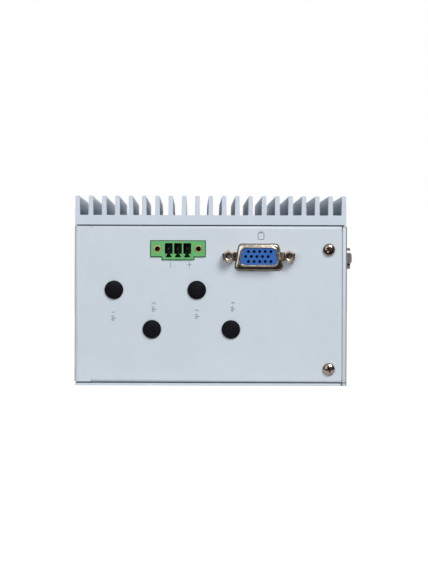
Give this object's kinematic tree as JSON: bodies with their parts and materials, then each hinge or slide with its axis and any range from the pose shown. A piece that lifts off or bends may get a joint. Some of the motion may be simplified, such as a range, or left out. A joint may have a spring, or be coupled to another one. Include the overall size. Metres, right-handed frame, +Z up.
{
  "type": "fanless industrial computer",
  "caption": "Compact fanless computer: folded steel box under a finned aluminium heat sink, with plug-in power, display, serial and network ports.",
  "frame": {"origin": "centre of the underside, on the lower face of the bottom cover, midway along and across the heat sink", "axes": "+Z up towards the fins, +Y along the fins away from the end wall with the power header and display socket, +X towards the port panel"},
  "size_m": [0.1179, 0.1621, 0.0785],
  "materials": {
    "bare_aluminium": "bare milled aluminium",
    "brass_bare": "plain turned brass",
    "brass_nickel": "nickel-plated brass",
    "button_grey": "dark grey plastic",
    "cable_black": "black flexible insulation",
    "chip_black": "black moulded package",
    "circuit_board": "green solder mask over glass-epoxy laminate",
    "gold_contacts": "gold-flashed contact metal",
    "header_green": "mid-green moulded plastic, satin gloss",
    "insert_blue": "blue moulded plastic, satin gloss",
    "light_clear": "clear light pipe",
    "light_green": "translucent tinted plastic",
    "moulding_black": "black glass-filled plastic",
    "nickel_steel": "nickel-plated steel, bright",
    "pad_grey": "soft filled silicone",
    "plug_black": "black soft-sheen plastic",
    "sheet_paint": "satin powder coat over folded steel sheet, light blue-grey",
    "sheet_paint_screw": "satin powder coat over steel screws",
    "shell_nickel": "nickel-plated drawn steel, warm grey",
    "sink_paint": "fine satin powder coat over extruded aluminium, light blue-grey",
    "tin_bright": "tinned contact metal",
    "zinc_steel": "zinc-plated steel, satin"
  },
  "bodies": {
    "chassis": {"antenna_plug_1": "plug_black", "antenna_plug_2": "plug_black", "antenna_plug_3": "plug_black", "antenna_plug_4": "plug_black", "board_screws": "zinc_steel", "board_standoffs": "brass_nickel", "bottom_cover": "sheet_paint", "chassis_wrap": "sheet_paint", "coin_cell": "nickel_steel", "coin_cell_holder": "moulding_black", "cover_nuts": "zinc_steel", "cover_screws": "sheet_paint_screw", "display_contacts": "tin_bright", "display_insert": "insert_blue", "display_jackscrews": "nickel_steel", "display_shell": "shell_nickel", "drive_cable": "cable_black", "drive_screws": "sheet_paint_screw", "drive_sockets": "moulding_black", "drive_spacers": "brass_nickel", "end_screws_far": "nickel_steel", "end_screws_near": "nickel_steel", "heat_sink": "sink_paint", "heat_sink_screws": "zinc_steel", "heat_spreader": "bare_aluminium", "lan_contacts": "gold_contacts", "lan_jack_1": "shell_nickel", "lan_jack_2": "shell_nickel", "lan_lights": "light_green", "light_holder": "moulding_black", "main_board": "circuit_board", "memory_module": "circuit_board", "memory_socket": "moulding_black", "panel_nuts": "zinc_steel", "port_panel": "sheet_paint", "power_header": "header_green", "power_header_inserts": "brass_bare", "power_header_pins": "tin_bright", "power_switch": "moulding_black", "processor": "chip_black", "rail_nuts": "zinc_steel", "serial_insert": "moulding_black", "serial_jackscrews": "nickel_steel", "serial_pins": "gold_contacts", "serial_shell": "shell_nickel", "spreader_screws": "zinc_steel", "status_lights": "light_clear", "storage_drive": "bare_aluminium", "thermal_pad": "pad_grey", "usb_shell_1": "shell_nickel", "usb_shell_2": "shell_nickel", "usb_tongues": "moulding_black"},
    "power_button": {"power_button": "button_grey"}
  },
  "joints": [
    {"name": "power_button_press", "type": "slide", "parent": "chassis", "child": "power_button", "axis": [-1, 0, 0], "range_m": [0, 0.0008], "stiffness_N_per_m": 600, "springref_m": -0.002}
  ]
}
